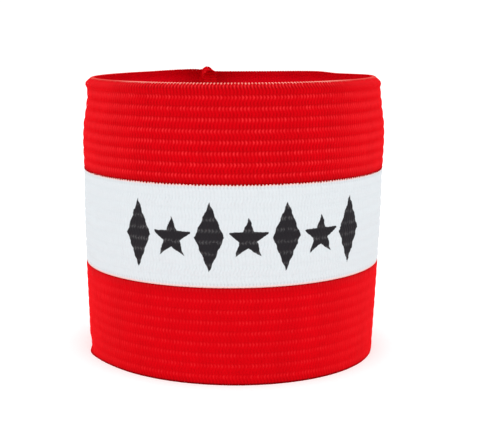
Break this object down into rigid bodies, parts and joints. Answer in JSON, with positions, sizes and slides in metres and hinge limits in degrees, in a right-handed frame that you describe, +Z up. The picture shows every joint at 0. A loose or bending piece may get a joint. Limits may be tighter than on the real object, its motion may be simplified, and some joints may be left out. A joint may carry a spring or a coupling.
{
  "type": "captain armband",
  "caption": "Wide ribbed elastic armband sewn to a loop, red with a white middle stripe, worn round the upper arm over a sleeve.",
  "frame": {"origin": "middle of the loop, on the surface that its lower edge rests on", "axes": "+Z up along the arm's axis, +Y towards the sewn seam, so the print's place on the white stripe faces -Y"},
  "size_m": [0.0824, 0.0819, 0.0761],
  "materials": {
    "red_elastic": "ribbed woven elastic, matt with a faint sheen on the rib crests",
    "white_elastic": "ribbed woven elastic, matt, with a black printed device"
  },
  "bodies": {
    "root": {"lower_red_stripe": "red_elastic", "white_stripe": "white_elastic", "upper_red_stripe": "red_elastic"}
  },
  "joints": []
}
